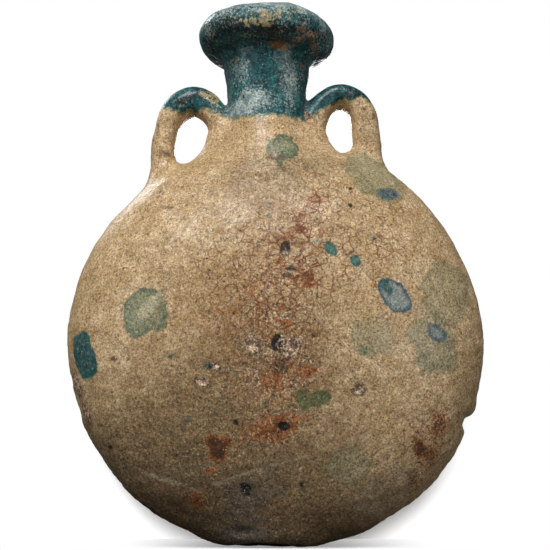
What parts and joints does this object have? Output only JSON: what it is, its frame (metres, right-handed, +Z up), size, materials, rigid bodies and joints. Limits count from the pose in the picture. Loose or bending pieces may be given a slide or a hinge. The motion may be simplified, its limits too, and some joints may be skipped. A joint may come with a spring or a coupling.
{
  "type": "glazed flask",
  "caption": "Glazed earthenware pilgrim flask with a round flattened body, short neck, thick rolled mouth and loop handles beside the neck.",
  "frame": {"origin": "under the middle of the body, on the small flat worn into its lower edge, at the centre of the bounding box's base", "axes": "+Z up along the neck, -Y towards the pictured front face, +X to the right seen from the front"},
  "size_m": [0.2322, 0.104, 0.2996],
  "materials": {
    "cream_glaze": "worn, crackled, semi-gloss cream glaze with green, turquoise and rust stains",
    "turquoise_glaze": "mottled semi-gloss turquoise glaze with a pale weathered bloom"
  },
  "bodies": {
    "root": {"front_bowl": "cream_glaze", "back_bowl": "cream_glaze", "seam_coil": "cream_glaze", "neck": "turquoise_glaze", "mouth_ring": "turquoise_glaze", "left_handle": "cream_glaze", "right_handle": "cream_glaze", "front_neck_fillet": "cream_glaze", "back_neck_fillet": "cream_glaze", "left_foot_fillet": "cream_glaze", "right_foot_fillet": "cream_glaze"}
  },
  "joints": []
}
